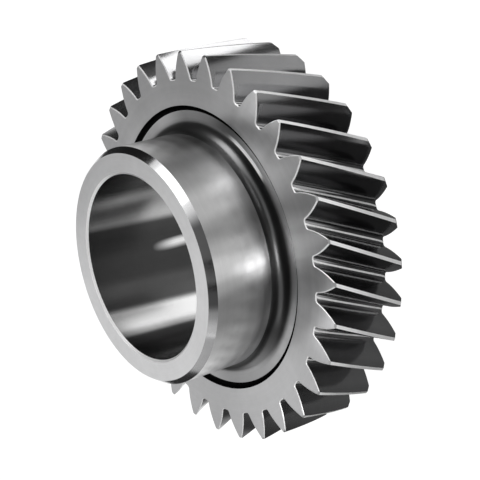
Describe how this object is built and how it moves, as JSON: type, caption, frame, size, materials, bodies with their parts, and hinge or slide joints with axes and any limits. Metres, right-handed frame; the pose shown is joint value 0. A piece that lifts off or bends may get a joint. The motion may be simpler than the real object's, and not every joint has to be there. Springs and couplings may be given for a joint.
{
  "type": "transmission gear",
  "caption": "Helical steel gear with an open round bore, a long hub on one side and a shallow ring-shaped relief round the hub's foot.",
  "frame": {"origin": "centre of the rear face, on the gear's axis, so the gear stands on its rear face at z = 0", "axes": "+Z runs along the gear's axis from the rear face to the nose of the hub, and +X passes through the middle of a tooth at the rear face"},
  "size_m": [0.1284, 0.1284, 0.054],
  "materials": {
    "steel": "ground and turned steel, satin"
  },
  "bodies": {
    "root": {"gear": "steel"}
  },
  "joints": []
}
